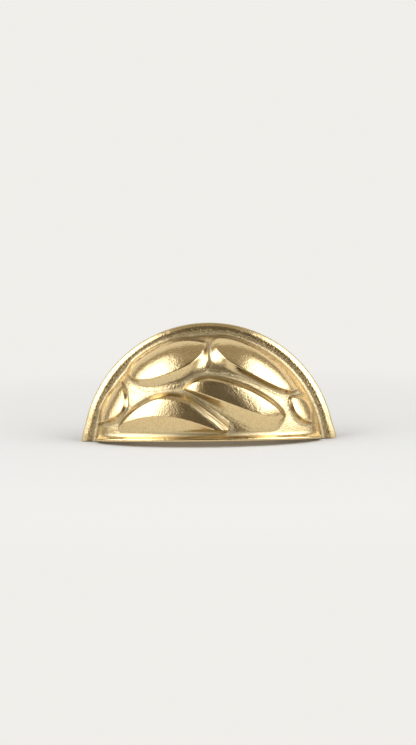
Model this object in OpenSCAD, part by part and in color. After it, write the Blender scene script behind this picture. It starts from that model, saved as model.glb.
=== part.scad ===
// Cup pull: a half-moon drawer pull, cast in brass as one piece.
// The flat back lies on the drawer front, the cup stands out from it towards -Y, and +Z is up.
// The origin is on the back, midway between the two tapped holes.

/* [Overall] */
// Width across the two toes of the rim
width = 96; // [88:1:108]
// Height of the rim above the lower edge
height = 44; // [41:0.5:48]
// Distance from the drawer front to the front of the lip
projection = 24; // [21:0.5:28]

/* [Rim] */
// Width of the rim round the cup
rim_w = 4.6; // [4.4:0.1:6.5]
// Thickness of the rim at its flat band
rim_t = 2.6; // [2:0.1:3.5]
// Width of the rounded slope along the rim's outer edge
bevel_w = 2.5; // [1.2:0.1:2.6]
// Fall of that slope towards the drawer front
bevel_d = 1.4; // [0.6:0.1:1.6]
// Flare of each toe beyond the round of the rim
toe = 0.7; // [0:0.1:1.5]
// Length of rim over which a toe flares, in degrees of its arc
toe_arc = 9; // [4:1:16]
// Rise of the hollow curve where the cup meets the rim
fillet = 1.4; // [0.8:0.1:1.7]

/* [Cup] */
// Metal between the hollow inside and the ground of the relief
wall = 2.5; // [2:0.1:3.5]
// Height of the lip's rounded edge
lip_h = 1.2; // [0.8:0.1:2]
// How far the lip stands out from the ground of the relief
lip_out = 1.5; // [0.8:0.1:2.2]
// Height of the hollow curve above the lip
cove_h = 1.8; // [1:0.1:2.6]

/* [Fixing] */
// Distance between the two tapped holes
fixing_pitch = 64; // [56:1:66]
// Height of the holes above the lower edge
fixing_z = 10; // [7:0.5:13]
// Diameter of the boss round each hole
boss_d = 8.5; // [7:0.5:10]
// Diameter of each hole, the tapping size of an M4 screw
tap_d = 3.3; // [2.5:0.1:4.2]
// Depth of each hole
tap_depth = 8; // [5:0.5:9]

/* [Smoothness] */
// Strips from toe to toe
columns = 92; // [56:4:92]
// Rows up the carved face
rows = 46; // [28:2:46]

/* [Hidden] */
brass = [0.83, 0.68, 0.38];

// The rim's outer arc runs through its top and both lower corners, so its centre is below the lower edge.
chord = width/2 - toe;
rim_r = (chord*chord + height*height)/(2*height);
arc_z = height - rim_r;
// The ground of the relief is a quarter of a spheroid round that centre.
cup_r = rim_r - rim_w;
ground_d = projection - lip_out;
hollow_r = cup_r - wall;
hollow_d = ground_d - wall;
drill_point = 118;
// The carving runs this far out on the flat of the rim. It fades there and above the lip over these widths.
carve_over = 0.3;
rim_fade = 1.2;
lip_fade = 1.2;

// Six lobes in relief, drawn for a cup of this half width and height, and stretched with it.
// Each lobe is a ridge between two ends, with a broad face above it and a flank below.
// One row holds both ends, then at three stations along the ridge its sag under the straight line
// and the widths above and below it. The height of the ridge follows, the lean and the curve of the face,
// the width of the face's rounded border near both ends, how blunt the face and the flank end,
// and the power that hollows the flank.
layout = [42, 39];
lobes = [
    [[-29.5, 25], [-0.9, 37], [5.1, 6, 5.6], [11.4, 12.6, 10.2], [5, 5.4, 6],
        3.3, 0.4, 0.4, [3, 1.8], [6, 6], 1.7],
    [[2.9, 38.6], [32.6, 18.4], [5, 4.5, 3.5], [9.5, 9.8, 7.7], [5.4, 3, 2.6],
        3.3, 0.4, 0.4, [1.8, 2.6], [4, 4], 1.7],
    [[-41.2, 6.5], [-32, 22.3], [3.9, 5.6, 4], [5.4, 7.8, 5.6], [2.8, 2.8, 2.8],
        2.8, 0.3, 0.4, [1.4, 1.4], [3, 2], 1.5],
    [[-8.8, 19.2], [27.8, 8.8], [0.2, 1, 1.8], [7.7, 8.7, 7.7], [2.7, 5, 6.2],
        3.4, 0.35, 0.25, [2.2, 2.2], [6, 2], 1.2],
    [[-32.8, 4.8], [14, 2.6], [-4.9, -4.4, -0.8], [7.9, 9.3, 6.6], [5.9, 5.2, 1.6],
        3.3, 0, 0.25, [1.8, 6], [2.4, 2], 1.2],
    [[30, 16.2], [38.6, 6.2], [1.7, 2.6, 2.1], [5.2, 6.8, 5], [2, 2, 2.2],
        2.6, 0.3, 0.4, [1.8, 1.8], [4, 2], 1.5]
];
stretch = [cup_r/layout.x, (height - rim_w)/layout.y];
// Powers of the curve down a face's border, which is round at its top and hollow at its foot,
// and of the curve over the ends of a ridge
border_power = 2.2;
border_hollow = 1.3;
end_power = 6;
// How far short of the ends of a ridge its widths stop shrinking, as a share of half its length
tip_gap = 0.001;
// Share of a face that its border may take up, where the face is narrow
border_share = 0.8;
// Rounding of a ridge, as a share of its height, and of the foot of a lobe
ridge_round = 0.05;
foot_round = 0.8;

function smooth(t) =
    let (c = min(max(t, 0), 1))
    c*c*(3 - 2*c);

// The lower and the higher of two heights, with a rounded change from one to the other
function lower(p, q, blend) = min(p, q) - pow(max(blend - abs(p - q), 0), 2)/(4*blend);
function higher(p, q, blend) = max(p, q) + pow(max(blend - abs(p - q), 0), 2)/(4*blend);

// A size along a lobe at place a from -1 to 1: a curve through its three stations, closed at both ends.
function along(size, a, blunt = 2) =
    let (
        station = sqrt(1 - pow(0.5, blunt)),
        from = size[0]/station,
        to = size[2]/station
    )
    sqrt(1 - pow(abs(a), blunt))*(size[1] + (to - from)*a + 2*(from + to - 2*size[1])*a*a);

// Height of one lobe over the ground at a point of the front view, below zero outside its outline
function lobe_height(lobe, p) =
    let (
        axis = (lobe[1] - lobe[0])/2,
        half = norm(axis),
        run = axis/half,
        q = p - lobe[0] - axis,
        place = q*run/half,
        a = min(max(place, tip_gap - 1), 1 - tip_gap),
        b = q*[-run.y, run.x] + along(lobe[2], a),
        face_w = along(lobe[3], a, lobe[9][0]),
        over = b/face_w,
        under = -b/along(lobe[4], a, lobe[9][1]),
        border_w = lobe[8][0] + (lobe[8][1] - lobe[8][0])*(a + 1)/2,
        t = max((over - 1)/min(border_w/face_w, border_share) + 1, 0),
        face = 1 + lobe[6]*over - lobe[7]*pow(max(over, 0), 2),
        swell = t < 1 ? face*pow(1 - pow(t, border_power), border_hollow) : 1 - t,
        flank = under < 1 ? pow(1 - under, lobe[10]) : 1 - under,
        past = max(abs(place) - 1 + tip_gap, 0)*half
    )
    lobe[5]*(sqrt(1 - pow(a, end_power))*lower(swell, flank, ridge_round) - past);

// Height of the carving over the ground, from the first lobe to the last
function relief(p, i = 0, so_far = 0) =
    i == len(lobes) ? so_far :
    relief(p, i + 1, higher(so_far, lobe_height(lobes[i], [p.x/stretch.x, p.y/stretch.y]), foot_round));

// Distance of the ground from the back at a point of the front view
function ground(x, z) =
    ground_d*sqrt(max(1 - (x*x + (z - arc_z)*(z - arc_z))/(cup_r*cup_r), 0));

// Half the angle that the arc of radius r spans above the lower edge
function half_arc(r) = acos(-arc_z/r);

// Section of the rim from the fillet outwards, as radius and distance from the back.
// The fillet reaches out on the rim by this share of its rise, and the slope turns down at this share.
fillet_reach = 0.8;
bevel_turn = 0.45;
fillet_f = rim_t + fillet;
fillet_r = cup_r*sqrt(1 - pow(fillet_f/ground_d, 2));
fillet_slope = ground_d*ground_d*fillet_r/(cup_r*cup_r*fillet_f);
corner_r = fillet_r + fillet/fillet_slope;
flat_r = corner_r + fillet_reach*fillet;
carved_r = flat_r + carve_over;
bevel_r = rim_r - bevel_w;
edge_f = rim_t - bevel_d;
function bend(from, corner, to, t) =
    (1 - t)*(1 - t)*from + 2*t*(1 - t)*corner + t*t*to;
rim_section = [
    for (t = [0.25:0.25:1])
        bend([fillet_r, fillet_f], [corner_r, rim_t], [flat_r, rim_t], t),
    [bevel_r, rim_t],
    for (t = [0.4, 0.7, 1])
        bend([bevel_r, rim_t], [rim_r - bevel_turn*bevel_w, rim_t], [rim_r, edge_f], t),
    [rim_r, 0]
];

// Section of the lip and its cove from the lower edge up, as height and distance from the ground.
// The lip's edge stands out by this share at its foot, and this power makes its round fuller.
lip_foot = 0.62;
lip_power = 0.8;
lip_section = [
    for (a = [0:55:165])
        [lip_h*(1 - cos(a))/2, lip_out*(lip_foot + (1 - lip_foot)*pow(sin(a), lip_power))],
    for (a = [22.5:22.5:90])
        [lip_h + cove_h*(1 - cos(a)), lip_out*(1 - sin(a))]
];

// Place s runs from -1, the left toe, to 1, the right toe. It turns by this share of the half arc.
function turn(s) = 0.6*s + 0.4*asin(s)/90;
function face_x(s) = fillet_r*sin(turn(s)*half_arc(fillet_r));
function face_top(s) = abs(s) == 1 ? 0 : arc_z + fillet_r*cos(turn(s)*half_arc(fillet_r));
// The lip and its cove shrink where the face is low, near the toes.
function lip_scale(s) = min(face_top(s)/(2*(lip_h + cove_h)), 1);
function face_low(s) = lip_scale(s)*(lip_h + cove_h);
// Height of a point at this share of the way up the carved face, and its distance from the back
function face_z(s, share) =
    let (
        c = sqrt(cup_r*cup_r - face_x(s)*face_x(s)),
        low = asin((face_low(s) - arc_z)/c),
        top = asin((face_top(s) - arc_z)/c)
    )
    arc_z + c*sin(low + (top - low)*share);
function carved(s, z) =
    ground(face_x(s), z) + smooth((z - face_low(s))/lip_fade)*relief([face_x(s), z]);

// Shares at which the rows of a section stand: equal steps along the carved face, drawn this much steeper
// than it is, so that the rows follow the borders of the lobes and stand close together there.
probes = 120;
steeper = 1.2;
function row_shares(s) =
    let (
        path = [for (i = [0:probes]) let (z = face_z(s, i/probes)) [steeper*carved(s, z), z]],
        steps = [for (i = [1:probes]) norm(path[i] - path[i - 1])],
        runs = [for (i = 0, run = 0; i <= probes; run = run + (i < probes ? steps[i] : 0), i = i + 1) run],
        table = [for (i = [0:probes]) [runs[i], i/probes]]
    )
    [for (i = [1:rows]) abs(s) == 1 ? i/rows : lookup(runs[probes]*i/rows, table)];
shares = [for (i = [0:columns]) row_shares(2*i/columns - 1)];
// The rows' mean over the sections beside them, so that they run smoothly from toe to toe
spread = 3;
function mean_shares(i) =
    let (near = [for (j = [max(i - spread, 0):min(i + spread, columns)]) shares[j]])
    [for (j = [0:rows - 1]) [for (one = near) one[j]]*[for (one = near) 1]/len(near)];

// One closed section of the solid casting. It runs up the lip and the carved face, over the rim to the back,
// and home along the back and bottom.
function section(i) =
    let (
        s = 2*i/columns - 1,
        end = abs(s) == 1,
        x = face_x(s),
        k = lip_scale(s),
        left = half_arc(fillet_r)*(1 - abs(turn(s))),
        flare = toe*smooth(1 - left/toe_arc)
    )
    concat(
        [for (p = lip_section)
            let (
                f = ground(x, k*p[0]),
                out = [x/(cup_r*cup_r), f/(ground_d*ground_d)],
                step = k*p[1]*out/norm(out)
            )
            [x + step.x, -f - step.y, k*p[0]]],
        [for (share = mean_shares(i))
            let (z = end ? 0 : face_z(s, share))
            [x, -carved(s, z), z]],
        [for (p = rim_section)
            let (
                r = p[0] + flare*max(p[0] - corner_r, 0)/(rim_r - corner_r),
                t = turn(s)*half_arc(r),
                z = end ? 0 : arc_z + r*cos(t),
                fade = smooth((carved_r - r)/rim_fade)*smooth((z - face_low(s))/lip_fade)
            )
            [r*sin(t), -p[1] - fade*relief([r*sin(t), z]), z]],
        [[x, 0, 0]]
    );

// How far the middle of an edge between sections i and i + 1 lies from the carved face
function off_face(i, p, q) =
    let (m = (p + q)/2)
    abs(m.y + carved(2*(i + 0.5)/columns - 1, m.z));

// The casting before it is hollowed: sections from toe to toe, joined by triangles. Each pair of triangles
// on the carved face meets along the edge that lies closer to it, and on the back along the one from the toe.
module casting() {
    sections = [for (i = [0:columns]) section(i)];
    points = [for (one = sections) each one];
    n = len(sections[0]);
    face_start = len(lip_section);
    face_end = face_start + rows - 1;
    last = n - 1;
    right = columns*n;
    strips = [
        for (i = [0:columns - 1], j = [0:last])
            let (
                p = i*n + j,
                q = i*n + (j + 1) % n,
                carving = j >= face_start && j < face_end,
                rising = carving
                    ? off_face(i, points[p], points[q + n]) < off_face(i, points[q], points[p + n])
                    : norm(points[q + n] - points[p]) < norm(points[p + n] - points[q])
            )
            each (j >= last - 1 ? i >= columns/2 : rising)
                ? [[p, q, q + n], [p, q + n, p + n]]
                : [[p, q, p + n], [q, q + n, p + n]]
    ];
    toes = [
        for (j = [face_end:last - 2])
            each [[last, j + 1, j], [right + last, right + j, right + j + 1]]
    ];
    triangles = [
        for (t = concat(strips, toes))
            if (points[t[0]] != points[t[1]] && points[t[1]] != points[t[2]] && points[t[2]] != points[t[0]])
                t
    ];
    polyhedron(points, triangles);
}

// The smooth inside, open at the back and below, or the same grown into the wall
module hollow(grow = 0) {
    r = hollow_r + grow;
    d = hollow_d + grow;
    translate([0, 0, arc_z])
        rotate([90, 0, 0])
            rotate_extrude($fn = 120)
                polygon(concat([[0, -1], [r, -1]], [for (a = [0:6:90]) [r*cos(a), d*sin(a)]]));
}

// Two bosses that run from the back into the wall of the cup
module bosses() {
    intersection() {
        fixing_places() cylinder(d = boss_d, h = projection, $fn = 64);
        hollow(wall/2);
    }
}

module fixing_places() {
    for (side = [-1, 1])
        translate([side*fixing_pitch/2, 0, fixing_z])
            rotate([90, 0, 0])
                children();
}

// Blind tapped holes with the point of the drill at the end
module taps() {
    point_h = tap_d/2/tan(drill_point/2);
    fixing_places() {
        translate([0, 0, -1]) cylinder(d = tap_d, h = tap_depth + 1, $fn = 48);
        translate([0, 0, tap_depth]) cylinder(d1 = tap_d, d2 = 0, h = point_h, $fn = 48);
    }
}

module cup_pull() {
    color(brass)
        translate([0, 0, -fixing_z])
            difference() {
                union() {
                    difference() {
                        casting();
                        hollow();
                    }
                    bosses();
                }
                taps();
            }
}

cup_pull();
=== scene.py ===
# %% [markdown]
# # A cup pull in cast brass
# This is a drawer handle in the shape of half a bowl, cast in one piece with six lobes in relief on its
# front. The packed model gives its place and size. The lesson builds the casting again with a finer skin,
# gives it a hand-polished brass finish, and sets it on a pale floor between two soft lights.

# %% Load the packed model
import math

import bpy
import numpy as np
from mathutils import Matrix, Vector


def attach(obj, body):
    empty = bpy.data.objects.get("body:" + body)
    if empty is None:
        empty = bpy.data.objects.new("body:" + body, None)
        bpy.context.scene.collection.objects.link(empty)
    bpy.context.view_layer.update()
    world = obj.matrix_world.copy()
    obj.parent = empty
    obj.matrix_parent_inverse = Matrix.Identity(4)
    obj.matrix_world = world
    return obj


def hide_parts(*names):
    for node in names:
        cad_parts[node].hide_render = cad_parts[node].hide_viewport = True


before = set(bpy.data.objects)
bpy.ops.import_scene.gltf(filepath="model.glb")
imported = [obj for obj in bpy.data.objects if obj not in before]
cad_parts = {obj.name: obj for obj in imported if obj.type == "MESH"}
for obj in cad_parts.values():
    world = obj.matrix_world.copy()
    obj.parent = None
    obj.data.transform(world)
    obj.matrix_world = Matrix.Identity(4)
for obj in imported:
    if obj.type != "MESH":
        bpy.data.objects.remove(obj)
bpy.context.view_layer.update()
bpy.ops.object.select_all(action="DESELECT")
bpy.context.scene.view_settings.view_transform = "Standard"
MM = 0.001

# %% [markdown]
# The camera stands almost level with the pull, in front of it and a little above its middle. A long lens
# keeps the half-moon from spreading. The picture is upright, 416 by 745, so the sensor's 36 mm lie along
# its height, and the lens follows from how many pixels a millimetre takes up in the plane of the back. A
# camera that leans a little to one side makes the right end look raised, so that lean is set too.

# %% Camera
PICTURE_HEIGHT = 745
PIXELS_PER_MM = 2.651
camera_away = 900 * MM
camera_up = 20.3 * MM
camera_pitch = math.radians(0.324)
camera_roll = math.radians(0.746)
shot = bpy.data.cameras.new("shot")
shot.lens = shot.sensor_width * camera_away / (PICTURE_HEIGHT / PIXELS_PER_MM * MM)
shot.clip_end = 100
camera = bpy.data.objects.new("camera", shot)
bpy.context.collection.objects.link(camera)
ahead = Vector((0, math.cos(camera_pitch), -math.sin(camera_pitch)))
level = Vector((1, 0, 0))
upright = level.cross(ahead)
right = math.cos(camera_roll) * level - math.sin(camera_roll) * upright
up = math.cos(camera_roll) * upright + math.sin(camera_roll) * level
turned = Matrix((right, up, -ahead)).transposed()
camera.matrix_world = Matrix.Translation((0, -camera_away, camera_up)) @ turned.to_4x4()
bpy.context.scene.camera = camera
print("lens in mm:", round(shot.lens, 1))

# %% [markdown]
# ## The plan of the casting
# The half-moon rim is an arc through its top and its two toes, so its centre lies just under the lower
# edge. The cup behind the carving is a quarter of a spheroid round the same centre. These few sizes are the
# ones that the packed model was made from, in millimetres, with the height counted from the lower edge.

# %% Sizes in millimetres
width, height, projection = 96, 44, 24
rim_w, rim_t, bevel_w, bevel_d = 4.6, 2.6, 2.5, 1.4
toe, toe_arc, fillet = 0.7, math.radians(9), 1.4
wall, lip_h, lip_out, cove_h = 2.5, 1.2, 1.5, 1.8
fixing_pitch, fixing_z, boss_d, tap_d, tap_depth = 64, 10, 8.5, 3.3, 8
chord = width / 2 - toe
rim_r = (chord**2 + height**2) / (2 * height)
arc_z = height - rim_r
cup_r = rim_r - rim_w
ground_d = projection - lip_out
hollow_r, hollow_d = cup_r - wall, ground_d - wall
print("rim radius:", round(rim_r, 2), "centre below the edge:", round(-arc_z, 2))

# %% [markdown]
# ## The lobes
# The carver's pattern is six swelling lobes, like folded leaves. Each one has a ridge, a broad round face
# above it and a steep flank below. Sculpting by hand would give them, but nobody could repeat it, so each
# lobe is a formula. It starts from the two ends of the ridge. At three stations between them it is told how
# far the ridge sags under the straight line, and how wide the lobe is above and below it. Then come the
# height, the lean and the curve of the face, the width of the face's rounded border near both ends, how
# blunt the face and the flank end, and the power that hollows the flank.

# %% Lobe shapes, drawn for a cup of this half width and height
layout = (42, 39)
LOBES = [
    dict(
        ends=((-29.5, 25), (-0.9, 37)), sag=(5.1, 6, 5.6), above=(11.4, 12.6, 10.2), below=(5, 5.4, 6),
        high=3.3, lean=0.4, curve=0.4, border=(3, 1.8), blunt=(6, 6), hollow=1.7,
    ),
    dict(
        ends=((2.9, 38.6), (32.6, 18.4)), sag=(5, 4.5, 3.5), above=(9.5, 9.8, 7.7), below=(5.4, 3, 2.6),
        high=3.3, lean=0.4, curve=0.4, border=(1.8, 2.6), blunt=(4, 4), hollow=1.7,
    ),
    dict(
        ends=((-41.2, 6.5), (-32, 22.3)), sag=(3.9, 5.6, 4), above=(5.4, 7.8, 5.6), below=(2.8, 2.8, 2.8),
        high=2.8, lean=0.3, curve=0.4, border=(1.4, 1.4), blunt=(3, 2), hollow=1.5,
    ),
    dict(
        ends=((-8.8, 19.2), (27.8, 8.8)), sag=(0.2, 1, 1.8), above=(7.7, 8.7, 7.7), below=(2.7, 5, 6.2),
        high=3.4, lean=0.35, curve=0.25, border=(2.2, 2.2), blunt=(6, 2), hollow=1.2,
    ),
    dict(
        ends=((-32.8, 4.8), (14, 2.6)), sag=(-4.9, -4.4, -0.8), above=(7.9, 9.3, 6.6), below=(5.9, 5.2, 1.6),
        high=3.3, lean=0, curve=0.25, border=(1.8, 6), blunt=(2.4, 2), hollow=1.2,
    ),
    dict(
        ends=((30, 16.2), (38.6, 6.2)), sag=(1.7, 2.6, 2.1), above=(5.2, 6.8, 5), below=(2, 2, 2.2),
        high=2.6, lean=0.3, curve=0.4, border=(1.8, 1.8), blunt=(4, 2), hollow=1.5,
    ),
]
stretch = (cup_r / layout[0], (height - rim_w) / layout[1])
print("lobes:", len(LOBES), "stretched by", [round(v, 3) for v in stretch])


# %% Sizes along a lobe, and rounded changes from one height to another
def along(size, a, blunt=2):
    """A size through three stations of a lobe, closed at both ends, at places a from -1 to 1."""
    station = math.sqrt(1 - 0.5**blunt)
    first, last = size[0] / station, size[2] / station
    closed = np.sqrt(1 - abs(a) ** blunt)
    return closed * (size[1] + (last - first) * a + 2 * (first + last - 2 * size[1]) * a * a)


def lower_of(p, q, blend):
    """The lower of two heights, rounded where one takes over from the other."""
    return np.minimum(p, q) - np.maximum(blend - abs(p - q), 0) ** 2 / (4 * blend)


def higher_of(p, q, blend):
    """The higher of two heights, rounded in the same way."""
    return np.maximum(p, q) + np.maximum(blend - abs(p - q), 0) ** 2 / (4 * blend)


print("first lobe's width above its ridge, halfway along, in mm:", along(LOBES[0]["above"], 0))

# %% Height of one lobe
tip_gap, border_share = 0.001, 0.8
border_power, border_hollow, end_power = 2.2, 1.3, 6
ridge_round = 0.05


def lobe_height(x, z, ends, sag, above, below, high, lean, curve, border, blunt, hollow):
    """Height of one lobe at points of the front view, below zero outside its outline."""
    (start_x, start_z), (end_x, end_z) = ends
    half = math.dist(*ends) / 2
    run_x, run_z = (end_x - start_x) / 2 / half, (end_z - start_z) / 2 / half
    from_x, from_z = x - (start_x + end_x) / 2, z - (start_z + end_z) / 2
    place = (from_x * run_x + from_z * run_z) / half
    past = np.maximum(abs(place) - 1 + tip_gap, 0) * half
    a = np.clip(place, tip_gap - 1, 1 - tip_gap)
    b = from_z * run_x - from_x * run_z + along(sag, a)
    face_w = along(above, a, blunt[0])
    over, under = b / face_w, -b / along(below, a, blunt[1])
    border_w = border[0] + (border[1] - border[0]) * (a + 1) / 2
    t = np.maximum((over - 1) / np.minimum(border_w / face_w, border_share) + 1, 0)
    face = 1 + lean * over - curve * np.maximum(over, 0) ** 2
    swell = np.where(t < 1, face * np.maximum(1 - t**border_power, 0) ** border_hollow, 1 - t)
    flank = np.where(under < 1, np.maximum(1 - under, 0) ** hollow, 1 - under)
    return high * (np.sqrt(1 - a**end_power) * lower_of(swell, flank, ridge_round) - past)


probe = np.array([-15.0, 8.0]), np.array([28.0, 15.0])
print("first lobe's height at two places in mm:", lobe_height(*probe, **LOBES[0]).round(2).tolist())

# %% Height of the carving over the cup
foot_round = 0.8


def relief(x, z):
    """Height of all the lobes together."""
    total = np.zeros_like(x)
    for lobe in LOBES:
        total = higher_of(total, lobe_height(x / stretch[0], z / stretch[1], **lobe), foot_round)
    return total


print("relief at two places in mm:", relief(*probe).round(2).tolist())

# %% [markdown]
# ## The skin
# A section through the casting runs up the lip, over the carved face and the rim, down to the flat back and
# home along the bottom. A grid has the same rows and columns as a fan of such sections from toe to toe, so
# the skin starts as one grid whose points are moved on to the sections. It is close to laying a sheet of
# wax over a pattern. The first and last rows meet, and merging them closes the seam.

# %% Section of the rim, as radius and distance from the back
fillet_reach, bevel_turn, carve_over = 0.8, 0.45, 0.3
fillet_f = rim_t + fillet
fillet_r = cup_r * math.sqrt(1 - (fillet_f / ground_d) ** 2)
fillet_slope = ground_d**2 * fillet_r / (cup_r**2 * fillet_f)
corner_r = fillet_r + fillet / fillet_slope
flat_r = corner_r + fillet_reach * fillet
carved_r = flat_r + carve_over
bevel_r = rim_r - bevel_w
edge_f = rim_t - bevel_d


def bend(start, corner, end, t):
    """A point of a curve that leaves start towards the corner and turns to end."""
    start, corner, end = map(np.array, (start, corner, end))
    return tuple((1 - t) ** 2 * start + 2 * t * (1 - t) * corner + t * t * end)


rim_front = [
    bend((fillet_r, fillet_f), (corner_r, rim_t), (flat_r, rim_t), t)
    for t in np.linspace(0.06, 1, 16)
]
rim_front += [(bevel_r - 0.3, rim_t), (bevel_r, rim_t)]
rim_front += [
    bend((bevel_r, rim_t), (rim_r - bevel_turn * bevel_w, rim_t), (rim_r, edge_f), t)
    for t in np.linspace(0.1, 1, 10)
]
rim_edge = [(rim_r, edge_f - 0.12), (rim_r, 0.2), (rim_r - 0.06, 0.06), (rim_r - 0.2, 0)]
print("points over the rim's front:", len(rim_front), "and round its edge:", len(rim_edge))

# %% Section of the lip and its cove, as height and distance from the cup
lip_foot, lip_power = 0.62, 0.8
lip_section = [
    (lip_h * (1 - math.cos(a)) / 2, lip_out * (lip_foot + (1 - lip_foot) * math.sin(a) ** lip_power))
    for a in np.linspace(0, math.radians(165), 12)
]
lip_section += [
    (lip_h + cove_h * (1 - math.cos(a)), lip_out * (1 - math.sin(a)))
    for a in np.linspace(math.radians(18), math.radians(90), 9)
]
print("points in the lip's section:", len(lip_section))

# %% Sections from the left toe to the right one
COLUMNS = 400
# Sections even in angle would crowd at the toes, so the rest of each step is nearly even in width.
even_in_angle = 0.6


def smooth(t):
    """0 up to 0, 1 from 1 on, and a smooth change between them."""
    t = np.clip(t, 0, 1)
    return t * t * (3 - 2 * t)


def half_arc(r):
    """Half the angle that an arc of radius r spans above the lower edge."""
    return np.arccos(-arc_z / r)


s = np.linspace(-1, 1, COLUMNS + 1)[:, None]
turn = even_in_angle * s + (1 - even_in_angle) * np.arcsin(s) / (math.pi / 2)
foot_x = fillet_r * np.sin(turn * half_arc(fillet_r))
z_top = np.maximum(arc_z + fillet_r * np.cos(turn * half_arc(fillet_r)), 0)
lip_scale = np.minimum(z_top / (2 * (lip_h + cove_h)), 1)
z_low = lip_scale * (lip_h + cove_h)
flare = toe * smooth(1 - half_arc(fillet_r) * (1 - abs(turn)) / toe_arc)
print("sections:", len(s), "the highest in mm:", round(float(z_top.max()), 2))

# %% The lip and the carved face of every section
FACE_ROWS = 176
lip_fade = 1.2


def ground(x, z):
    """Distance of the uncarved cup from the back."""
    return ground_d * np.sqrt(np.maximum(1 - (x * x + (z - arc_z) ** 2) / cup_r**2, 0))


lip_z, lip_away = np.array(lip_section).T
z = lip_scale * lip_z
front = ground(foot_x, z)
slant_x, slant_y = foot_x / cup_r**2, front / ground_d**2
away = lip_scale * lip_away / np.hypot(slant_x, slant_y)
lip = [foot_x + away * slant_x, -front - away * slant_y, z]

chord_r = np.sqrt(cup_r**2 - foot_x**2)
low, top = np.arcsin((z_low - arc_z) / chord_r), np.arcsin((z_top - arc_z) / chord_r)
z = arc_z + chord_r * np.sin(low + (top - low) * np.arange(1, FACE_ROWS + 1) / FACE_ROWS)
x = foot_x + 0 * z
face = [x, -ground(x, z) - smooth((z - z_low) / lip_fade) * relief(x, z), z]
print("points up the lip:", lip[2].shape[1], "and up the face:", face[2].shape[1])

# %% The rim of every section, and the sections as a whole
rim_fade = 1.2
r, front = np.array(rim_front + rim_edge).T
r = r + flare * np.maximum(r - corner_r, 0) / (rim_r - corner_r)
angle = turn * half_arc(r)
x, z = r * np.sin(angle), arc_z + r * np.cos(angle)
fade = smooth((carved_r - r) / rim_fade) * smooth((z - z_low) / lip_fade)
rim = [x, -front - fade * relief(x, z), z]

back = [foot_x, 0 * foot_x, 0 * foot_x]
start = [part[:, :1] for part in lip]
sections = np.concatenate([np.stack(part, 2) for part in (lip, face, rim, back, start)], 1)
print("points in one whole section:", sections.shape[1])

# %% Lay the grid on the sections
ROWS = sections.shape[1] - 1
bpy.ops.mesh.primitive_grid_add(x_subdivisions=COLUMNS, y_subdivisions=ROWS, size=2)
cup = bpy.context.object
cup.name = cup.data.name = "cup_casting"
places = np.empty(3 * len(cup.data.vertices))
cup.data.vertices.foreach_get("co", places)
places = places.reshape(-1, 3)
column = np.rint((places[:, 0] + 1) / 2 * COLUMNS).astype(int)
row = np.rint((places[:, 1] + 1) / 2 * ROWS).astype(int)
laid = (sections[column, row] - (0, 0, fixing_z)) * MM
cup.data.vertices.foreach_set("co", laid.ravel())
print("grid:", COLUMNS, "by", ROWS)


# %% Close the seam and the toes
def take(piece):
    """Select one object alone and make it the active one."""
    bpy.ops.object.select_all(action="DESELECT")
    piece.select_set(True)
    bpy.context.view_layer.objects.active = piece


def open_points(piece):
    """Count the points of edges that don't have two faces."""
    take(piece)
    bpy.ops.object.mode_set(mode="EDIT")
    bpy.ops.mesh.select_all(action="DESELECT")
    bpy.ops.mesh.select_non_manifold(extend=False)
    bpy.ops.object.mode_set(mode="OBJECT")
    return sum(v.select for v in piece.data.vertices)


take(cup)
bpy.ops.object.mode_set(mode="EDIT")
bpy.ops.mesh.select_all(action="SELECT")
bpy.ops.mesh.remove_doubles(threshold=0.001 * MM)
bpy.ops.mesh.select_all(action="DESELECT")
bpy.ops.mesh.select_non_manifold(extend=False)
bpy.ops.mesh.fill_holes(sides=0)
bpy.ops.mesh.select_all(action="SELECT")
bpy.ops.mesh.normals_make_consistent(inside=False)
bpy.ops.object.mode_set(mode="OBJECT")
print("open points left:", open_points(cup), "faces:", len(cup.data.polygons))

# %% [markdown]
# ## The hollow and the bosses
# The back of a cup pull is open for the fingers, and two bosses inside take the screws. In the foundry a
# core leaves the hollow. Here a stretched sphere is taken away from the casting with a Boolean modifier,
# two posts trimmed by a slightly larger sphere are joined on, and a drill with a pointed end makes each
# hole. The sphere stands a hair behind the back, because points that lie just in a plane make a poor cut.


# %% Cut the hollow
def apply_boolean(target, tool, operation):
    """Cut, join or trim one object with another, which is used up."""
    change = target.modifiers.new("cut", "BOOLEAN")
    change.object, change.operation, change.solver = tool, operation, "EXACT"
    take(target)
    bpy.ops.object.modifier_apply(modifier=change.name)
    bpy.data.objects.remove(tool, do_unlink=True)


def add_bowl(grow):
    """The hollow's form, grown on all sides."""
    hair = 0.01
    bpy.ops.mesh.primitive_uv_sphere_add(
        segments=144, ring_count=72, radius=1, location=(0, hair * MM, (arc_z - fixing_z) * MM)
    )
    bowl = bpy.context.object
    bowl.scale = ((hollow_r + grow) * MM, (hollow_d + grow) * MM, (hollow_r + grow) * MM)
    bpy.ops.object.transform_apply(location=True, rotation=True, scale=True)
    return bowl


apply_boolean(cup, add_bowl(0), "DIFFERENCE")
print("faces with the hollow:", len(cup.data.polygons))


# %% Posts for the bosses
def add_post(diameter, length, x):
    """A round post that runs from the back towards the front."""
    bpy.ops.mesh.primitive_cylinder_add(
        vertices=64, radius=diameter / 2 * MM, depth=length * MM,
        location=(x * MM, -length / 2 * MM, 0), rotation=(math.pi / 2, 0, 0),
    )
    bpy.ops.object.transform_apply(location=True, rotation=True, scale=True)
    return bpy.context.object


fixing_x = (-fixing_pitch / 2, fixing_pitch / 2)
posts = [add_post(boss_d, projection, x) for x in fixing_x]
for post in posts:
    apply_boolean(post, add_bowl(wall / 2), "INTERSECT")
print("faces of the trimmed posts:", [len(post.data.polygons) for post in posts])

# %% Drills
outside, drill_point = 1, math.radians(118)


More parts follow.
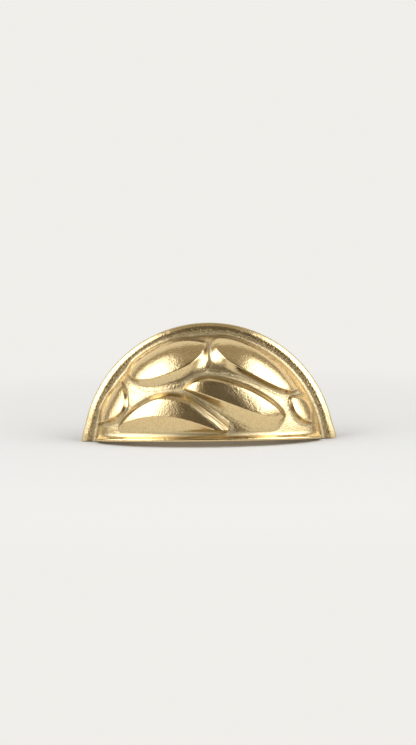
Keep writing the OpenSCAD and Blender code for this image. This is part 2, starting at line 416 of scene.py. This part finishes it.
def select_faces(piece, wanted):
    """Go into edit mode with only the wanted faces selected."""
    take(piece)
    bpy.ops.object.mode_set(mode="EDIT")
    bpy.ops.mesh.select_all(action="DESELECT")
    bpy.ops.object.mode_set(mode="OBJECT")
    for face in piece.data.polygons:
        face.select = wanted(face)
    bpy.ops.object.mode_set(mode="EDIT")


def add_drill(x):
    """A drill with a pointed end, which starts outside the back."""
    drill = add_post(tap_d, tap_depth + outside, x)
    for v in drill.data.vertices:
        v.co.y += outside * MM
    inner = min(v.co.y for v in drill.data.vertices)
    select_faces(drill, lambda face: face.center.y < inner + 0.001 * MM)
    point = tap_d / 2 / math.tan(drill_point / 2) * MM
    bpy.ops.mesh.extrude_region_move(TRANSFORM_OT_translate={"value": (0, -point, 0)})
    bpy.ops.mesh.merge(type="CENTER")
    bpy.ops.object.mode_set(mode="OBJECT")
    return drill


drills = [add_drill(x) for x in fixing_x]
depths = [-min(v.co.y for v in drill.data.vertices) / MM for drill in drills]
print("depth of the holes with their points in mm:", [round(depth, 2) for depth in depths])

# %% Join the bosses and drill them
for post, drill in zip(posts, drills):
    apply_boolean(cup, post, "UNION")
    apply_boolean(cup, drill, "DIFFERENCE")
print("faces with bosses and holes:", len(cup.data.polygons), "open points:", open_points(cup))

# %% Smooth the skin, keep the back flat, and measure
take(cup)
bpy.ops.object.shade_smooth_by_angle(angle=math.radians(62))
select_faces(cup, lambda face: face.normal.y > 0.999)
bpy.ops.mesh.faces_shade_flat()
bpy.ops.object.mode_set(mode="OBJECT")
print("faces on the flat back:", sum(face.select for face in cup.data.polygons))
cup.data.calc_loop_triangles()
print("triangles:", len(cup.data.loop_triangles))

# %% [markdown]
# The inside of the cup keeps the skin of the mould. On the front the lobes were filed and polished, while
# the ground between them and the flat of the rim stayed stippled, and one slope still shows the strokes of
# the file. Shade is painted into the colour as well: a darker, duller gold in the valleys, and brown on the
# narrow creases, the steep borders of the lobes and the filed slope. They could be painted on by hand. Here
# numbers worked out for each point say how much of these it has, so that the finish follows the carving
# wherever that goes. A point lies in a valley where the front round about it stands out further.


# %% Valleys and steep places of the front
def ramp(value, none, full):
    """0 at none, 1 at full, and a smooth change between them."""
    return smooth((value - none) / (full - none))


def front_of(x, z):
    """Distance of the casting's front from the back, seen from straight ahead."""
    arm = np.hypot(x, z - arc_z)
    cove = 1 - np.clip((z - lip_h) / cove_h, 0, 1)
    carving = smooth((z - lip_h - cove_h) / lip_fade) * relief(x, z)
    on_cup = ground(x, z) + lip_out * (1 - np.sqrt(1 - cove**2)) + carving
    on_rim = np.interp(arm, *np.array(rim_front).T) + smooth((carved_r - arm) / rim_fade) * carving
    return np.where(arm < fillet_r, on_cup, on_rim)


def valley_at(x, z, reach, none, full):
    """How far the front at this reach stands out over a point: 0 at none, 1 at full, in mm."""
    turns = np.linspace(0, 2 * math.pi, 16, endpoint=False)
    ring = [front_of(x + reach * math.cos(a), z + reach * math.sin(a)) for a in turns]
    return ramp(sum(ring) / len(ring) - front_of(x, z), none, full)


def steep_at(x, z, none, full, step=0.1):
    """How steeply the carving rises at a point: 0 on a slope of none, 1 on one of full."""
    rise_x = relief(x + step, z) - relief(x - step, z)
    rise_z = relief(x, z + step) - relief(x, z - step)
    return ramp(np.hypot(rise_x, rise_z) / (2 * step), none, full)


print("front at two places in mm:", front_of(*probe).round(2).tolist())

# %% Where each point lies
spots = np.empty(3 * len(cup.data.vertices))
cup.data.vertices.foreach_get("co", spots)
spots = spots.reshape(-1, 3) / MM + (0, 0, fixing_z)
x, front, z = spots[:, 0], -spots[:, 1], spots[:, 2]
arm = np.hypot(x, z - arc_z)
near_back, near_hollow = 0.02, 0.05
on_back = front <= near_back
deep = (arm / (hollow_r + near_hollow)) ** 2 + (front / (hollow_d + near_hollow)) ** 2 <= 1
on_front = ~deep & ~on_back
off_lip = np.maximum(ramp(z, 2.5, 4), ramp(arm, cup_r - 5, cup_r - 2))
on_carving = on_front * off_lip * ramp(arm, carved_r, carved_r - rim_fade)
print("points in the hollow:", deep.sum(), "on the back:", on_back.sum(), "on the front:", on_front.sum())

# %% Where the cast skin, the stipple and the file strokes are left, and where shade is painted
# How much of the painted brown shade the steepest borders of the lobes get.
back_skin, steep_shade = 0.4, 0.8
ground_left = ramp(front - ground(x, z), 0.65, 0.15) * (arm < fillet_r) * ramp(z, 3.5, 6)
flat_left = ramp(arm, fillet_r, fillet_r + 1.2) * ramp(arm, bevel_r + 0.8, bevel_r)
stroke_x, stroke_z = 0.78, -0.625
filed_x, filed_z = x - 0.8, z - 9.4
along_file, across_file = filed_x * stroke_x + filed_z * stroke_z, filed_z * stroke_x - filed_x * stroke_z
narrow = valley_at(x, z, reach=0.9, none=0.04, full=0.36)
steep = steep_at(x, z, none=0.9, full=1.6)
marks = {
    "cast_skin": np.where(on_back, back_skin, deep),
    "stipple": on_front * np.maximum(ground_left, flat_left),
    "filed": on_front * ramp(abs(along_file), 10.5, 7.5) * ramp(abs(across_file), 2.6, 1.4),
    # Valleys get a painted shade, a darker and duller gold, and a rougher gloss.
    "valley_shade": on_front * valley_at(x, z, reach=2, none=-0.24, full=0.56),
    # Narrow creases and steep borders of the lobes get a painted brown shade.
    "crease_shade": on_carving * np.maximum(narrow, steep_shade * steep),
}
for name, amount in marks.items():
    cup.data.attributes.new(name, "FLOAT", "POINT").data.foreach_set("value", amount.astype(np.float32))
    print(name, "mean over the points:", round(float(amount.mean()), 3))

# %% [markdown]
# ## The brass
# Polished brass is a mirror with a colour, so most of its look is the room it reflects. What makes it read
# as a casting is small: shallow waves left by the file and fine pits. A duller tone is also painted into the
# valleys and creases as shade. A picture of brass would stretch over the lobes, so noise in the casting's
# own space makes the waves and pits. Node sums are written as Python sums with one small class.


# %% A socket that can be reckoned with
class Wire:
    def __init__(self, tree, socket=None):
        self.tree, self.socket = tree, socket

    def node(self, kind, settings=None, inputs=None, out=0):
        """Add a node, feed its sockets with values or wires, and give one of its outputs."""
        made = self.tree.nodes.new(kind)
        for name, value in (settings or {}).items():
            setattr(made, name, value)
        for name, value in (inputs or {}).items():
            if isinstance(value, Wire):
                self.tree.links.new(value.socket, made.inputs[name])
            else:
                made.inputs[name].default_value = value
        return Wire(self.tree, made.outputs[out])

    def sum(self, operation, *values):
        return self.node("ShaderNodeMath", {"operation": operation}, dict(enumerate(values)))

    def rise(self, low, high):
        """0 up to low, 1 from high on, and straight between them."""
        return self.node("ShaderNodeMapRange", {"clamp": True}, {0: self, 1: low, 2: high, 3: 0.0, 4: 1.0})

    def __add__(self, other):
        return self.sum("ADD", self, other)

    def __sub__(self, other):
        return self.sum("SUBTRACT", self, other)

    def __rsub__(self, other):
        return self.sum("SUBTRACT", other, self)

    def __mul__(self, other):
        return self.sum("MULTIPLY", self, other)

    __radd__, __rmul__ = __add__, __mul__


print("a wire can add, subtract and multiply, and has", [name for name in vars(Wire) if name[0] != "_"])


# %% Helpers for the brass
def new_material(name):
    """A new material, a wire to add its nodes with, and its shader."""
    material = bpy.data.materials.new(name)
    material.use_nodes = True
    tree = material.node_tree
    return material, Wire(tree), tree.nodes["Principled BSDF"]


brass, wire, shader = new_material("polished_brass")
shader.inputs["Metallic"].default_value = 1
spot = wire.node("ShaderNodeTexCoord", out="Object")


def mark(name):
    """One of the numbers that the points hold."""
    return wire.node("ShaderNodeAttribute", {"attribute_name": name}, out="Fac")


def noise(per_metre, detail=2.0):
    inputs = {"Vector": spot, "Scale": per_metre, "Detail": detail}
    return wire.node("ShaderNodeTexNoise", None, inputs, out="Fac")


def mixed_colour(amount, first, second):
    return wire.node("ShaderNodeMix", {"data_type": "RGBA"}, {0: amount, 6: first, 7: second}, out=2)


print(brass.name, "starts with", len(wire.tree.nodes), "nodes")

# %% Waves, grain, pits and strokes
wave_h, ripple_h, grain_h = 0.09 * MM, 0.07 * MM, 0.06 * MM
pit_h, stipple_pit_h, stroke_h = 0.02 * MM, 0.06 * MM, 0.04 * MM
stroke_pace, stroke_waver = 6300.0, 9.0
skin, stipple, filed, valley_shade, crease_shade = map(mark, marks)
waves = noise(110.0, 1.0) * wave_h + noise(330.0) * ripple_h
speckle = noise(1700.0, 3.0)
grain = speckle * (grain_h + stipple * grain_h + skin * grain_h)
pit_size = wire.node("ShaderNodeTexVoronoi", None, {"Vector": spot, "Scale": 1300.0}, out="Distance")
pits = (1 - pit_size.rise(0.1, 0.38)) * noise(300.0).rise(0.42, 0.66)
spot_x, spot_z = [wire.node("ShaderNodeSeparateXYZ", None, {0: spot}, out=axis) for axis in "XZ"]
across_stroke = spot_x * -stroke_z + spot_z * stroke_x
strokes = wire.sum("SINE", across_stroke * stroke_pace + noise(120.0) * stroke_waver)
lift = waves + grain - pits * (stipple * stipple_pit_h + pit_h) + strokes * filed * stroke_h
hump = wire.node("ShaderNodeBump", None, {"Height": lift, "Strength": 1.0, "Distance": 1.0}, out="Normal")
print("one stroke of the file in mm:", round(2 * math.pi / stroke_pace / MM, 2))

# %% Colour and gloss
gold, pale_gold = (0.82, 0.625, 0.32, 1), (0.86, 0.66, 0.355, 1)
valley_shade_colour, brown_shade, dirt = (0.69, 0.56, 0.32, 1), (0.39, 0.32, 0.2, 1), (0.42, 0.29, 0.12, 1)
polished = mixed_colour(noise(60.0, 3.0).rise(0.3, 0.7), gold, pale_gold)
# Painted shade: a darker, duller gold in the valleys.
valley_shaded = mixed_colour(valley_shade * 0.9, polished, valley_shade_colour)
# Painted shade: brown on the creases, the steep borders and the filed slope.
brown_shaded = mixed_colour((crease_shade * 0.75 + filed * 0.5).rise(0.0, 1.0), valley_shaded, brown_shade)
specks = (1 - speckle.rise(0.3, 0.55)) * (0.42 + stipple * 0.58)
dulled = mixed_colour((skin * 0.8 + specks + pits * 0.3).rise(0.0, 1.0), brown_shaded, dirt)
rough = 0.1 + noise(220.0, 4.0) * 0.08 + stipple * 0.03 + valley_shade * 0.2 + filed * 0.2 + skin * 0.25
for name, value in (("Base Color", dulled), ("Roughness", rough), ("Normal", hump)):
    wire.tree.links.new(value.socket, shader.inputs[name])
print("brass has", len(wire.tree.nodes), "nodes")

# %% Put the casting in the packed model's place
cup.data.materials.clear()
cup.data.materials.append(brass)
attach(cup, "root")
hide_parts("cup_pull")
print(cup.name, "stands for cup_pull in", cup.data.materials[0].name)

# %% [markdown]
# ## The studio
# The pull leans back on its rim's lower edge, with its lip a little off the floor, so the floor here slopes
# away under it by that angle. It is one wide sheet of paper. Further out the paper glows in the colour of
# the background, but only where it is looked at or mirrored, so it puts no more light on the brass.

# %% Floor
slope = math.radians(5.83)
bpy.ops.mesh.primitive_plane_add(size=12)
floor = bpy.context.object
floor.name = "floor"
floor.matrix_world = Matrix.Translation((0, 0, -fixing_z * MM)) @ Matrix.Rotation(slope, 4, "X")
bpy.ops.object.transform_apply(location=True, rotation=True, scale=True)
print("floor slopes by", round(math.degrees(slope), 2), "degrees")

# %% Paper
pale = (0.875, 0.86, 0.825, 1)
glow_starts, glow_full = 0.06, 0.25
paper, wire, shader = new_material("pale_paper")
shader.inputs["Base Color"].default_value = (0.72, 0.695, 0.64, 1)
shader.inputs["Roughness"].default_value = 0.9
shader.inputs["Specular IOR Level"].default_value = 0.1
floor.data.materials.append(paper)


def shown_rays(wire):
    """1 for rays from the camera, from a mirror or through glass, and 0 for those that carry light."""
    kinds = ("Is Camera Ray", "Is Glossy Ray", "Is Transmission Ray")
    camera_ray, glossy_ray, through_ray = [wire.node("ShaderNodeLightPath", out=kind) for kind in kinds]
    return (camera_ray + glossy_ray + through_ray).rise(0.0, 1.0)


spot = wire.node("ShaderNodeTexCoord", out="Object")
distance = wire.node("ShaderNodeVectorMath", {"operation": "LENGTH"}, {0: spot}, out="Value")
shown_glow = distance.rise(glow_starts, glow_full) * shown_rays(wire)
glow = wire.node("ShaderNodeEmission", None, {"Color": pale, "Strength": 1.0})
lit = Wire(wire.tree, shader.outputs[0])
mixed = wire.node("ShaderNodeMixShader", None, {0: shown_glow, 1: lit, 2: glow})
wire.tree.links.new(mixed.socket, wire.tree.nodes["Material Output"].inputs["Surface"])
print("the paper glows fully from", glow_full, "m away")

# %% [markdown]
# Two wide soft lights stand left and right, each with a brighter middle, and the room in front of the pull
# is dark. Metal shows the lights as white patches, the room as brown, and the floor as gold on every flank
# that looks down. A picture of a room could give all that, but plain lights and sheets can be moved one by
# one. A dark card and a grey sphere, open at the back, stand for the room. Only the brass sees them, in its
# reflections.

# %% Soft lights
cool = (0.94, 1.0, 1.12)


def soft_light(name, place, aim, size, radiance):
    """A wide light of even radiance that the camera doesn't see."""
    lamp = bpy.data.lights.new(name, "AREA")
    lamp.shape, lamp.size, lamp.size_y = "RECTANGLE", size[0], size[1]
    lamp.color = cool
    lamp.energy = radiance * math.pi * size[0] * size[1]
    light = bpy.data.objects.new(name, lamp)
    light.location = place
    light.rotation_euler = (Vector(aim) - Vector(place)).to_track_quat("-Z", "Y").to_euler()
    light.visible_camera = False
    bpy.context.collection.objects.link(light)


soft_light("left_light", (-0.95, -0.8, 1.06), (0.95, -0.8, 0.9), (1.9, 1.8), 1.3)
soft_light("right_light", (0.95, -0.92, 0.96), (-0.95, -0.92, 0.8), (2.0, 1.7), 1.3)
soft_light("left_core", (-0.94, -0.7, 1.06), (0.95, -0.7, 0.9), (1.2, 1.4), 2.0)
soft_light("right_core", (0.94, -0.8, 0.96), (-0.95, -0.8, 0.8), (1.4, 1.3), 2.0)


# %% Dark card in front
warm = (1, 0.9, 0.76)


def only_mirrored(sheet, name, grey):
    """Give a sheet an even warm grey that only reflections show."""
    sheet.name = name
    material, _, shader = new_material(name)
    shader.inputs["Base Color"].default_value = (0, 0, 0, 1)
    shader.inputs["Specular IOR Level"].default_value = 0
    shader.inputs["Emission Color"].default_value = (*(grey * share for share in warm), 1)
    shader.inputs["Emission Strength"].default_value = 1
    sheet.data.materials.append(material)
    sheet.visible_camera = sheet.visible_diffuse = sheet.visible_shadow = False


bpy.ops.mesh.primitive_plane_add(size=1)
card = bpy.context.object
card.scale = (1.2, 2.5, 1)
card.location = (0.1, -1.5, 1.05)
card.rotation_euler = Vector((0, 1, 0)).to_track_quat("Z", "Y").to_euler()
only_mirrored(card, "dark_room", 0.14)
print("card in m:", [round(v, 2) for v in card.scale[:2]])


# %% Grey room, open at the back
def at_back(face):
    middle = face.center.normalized()
    return middle.y > 0.25 + 0.3 * abs(middle.x)


bpy.ops.mesh.primitive_uv_sphere_add(segments=48, ring_count=24, radius=5)
room = bpy.context.object
select_faces(room, at_back)
bpy.ops.mesh.delete(type="FACE")
bpy.ops.object.mode_set(mode="OBJECT")
only_mirrored(room, "grey_room", 0.4)
print("faces of the room:", len(room.data.polygons))

# %% World
world = bpy.data.worlds.new("studio")
bpy.context.scene.world = world
world.use_nodes = True
wire = Wire(world.node_tree)
backdrop = world.node_tree.nodes["Background"]
backdrop.inputs["Color"].default_value = pale
strength = shown_rays(wire) * 0.5 + 0.5
wire.tree.links.new(strength.socket, backdrop.inputs["Strength"])
print("the world lights at half the strength that it shows")
